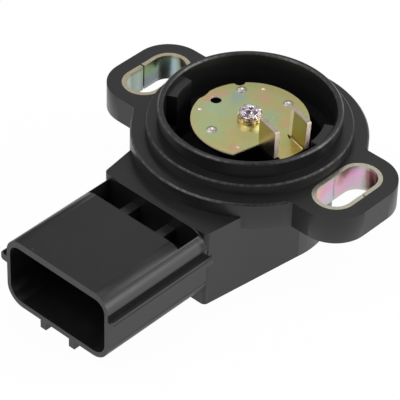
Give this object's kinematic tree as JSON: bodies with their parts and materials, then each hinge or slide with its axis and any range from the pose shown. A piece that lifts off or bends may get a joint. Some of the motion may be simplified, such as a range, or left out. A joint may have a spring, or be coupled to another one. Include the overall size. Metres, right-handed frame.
{
  "type": "throttle position sensor",
  "caption": "Round-cupped rotary sensor with slotted mounting lugs, a sprung two-tab drive fork and a rounded plug shroud.",
  "frame": {"origin": "on the rotor axis, in the plane of the flange's mounting face", "axes": "+Z along the rotor axis out of the cup, X through the two lugs, the plug shroud points along -Y"},
  "size_m": [0.0582, 0.0682, 0.0263],
  "materials": {
    "housing_plastic": "fine satin black moulding",
    "cover_plastic": "satin black",
    "hub_plastic": "satin black",
    "seal_rubber": "matt",
    "zinc_yellow": "yellow passivated zinc, faintly iridescent",
    "sleeve_metal": "pale yellow passivated zinc",
    "shaft_steel": "staked bright steel",
    "spring_steel": "drawn wire",
    "bush_bronze": "sintered bronze",
    "tin_plate": "dull tin",
    "board_laminate": "plain laminate",
    "carbon_film": "matt film"
  },
  "bodies": {
    "body": {"housing": "housing_plastic", "sleeve_left": "sleeve_metal", "sleeve_right": "sleeve_metal", "rear_cover": "cover_plastic", "cover_bead": "seal_rubber", "shaft_bush": "bush_bronze", "bush_seal": "seal_rubber", "return_spring": "spring_steel", "resistor_board": "board_laminate", "resistive_track": "carbon_film", "collector_track": "tin_plate", "contact_pads": "tin_plate", "terminal_supply": "tin_plate", "terminal_signal": "tin_plate", "terminal_ground": "tin_plate"},
    "rotor": {"rotor_plate": "zinc_yellow", "rotor_shaft": "shaft_steel", "rotor_hub": "hub_plastic", "thrust_washer": "spring_steel", "wiper_carrier": "hub_plastic", "wiper_brush": "bush_bronze", "retaining_ring": "spring_steel"}
  },
  "joints": [
    {"name": "rotor_turn", "type": "hinge", "parent": "body", "child": "rotor", "pos_m": [0, 0, 0], "axis": [0, 0, 1], "range_deg": [0, 100], "stiffness_Nm_per_rad": 0.004, "springref_deg": -45.84}
  ]
}
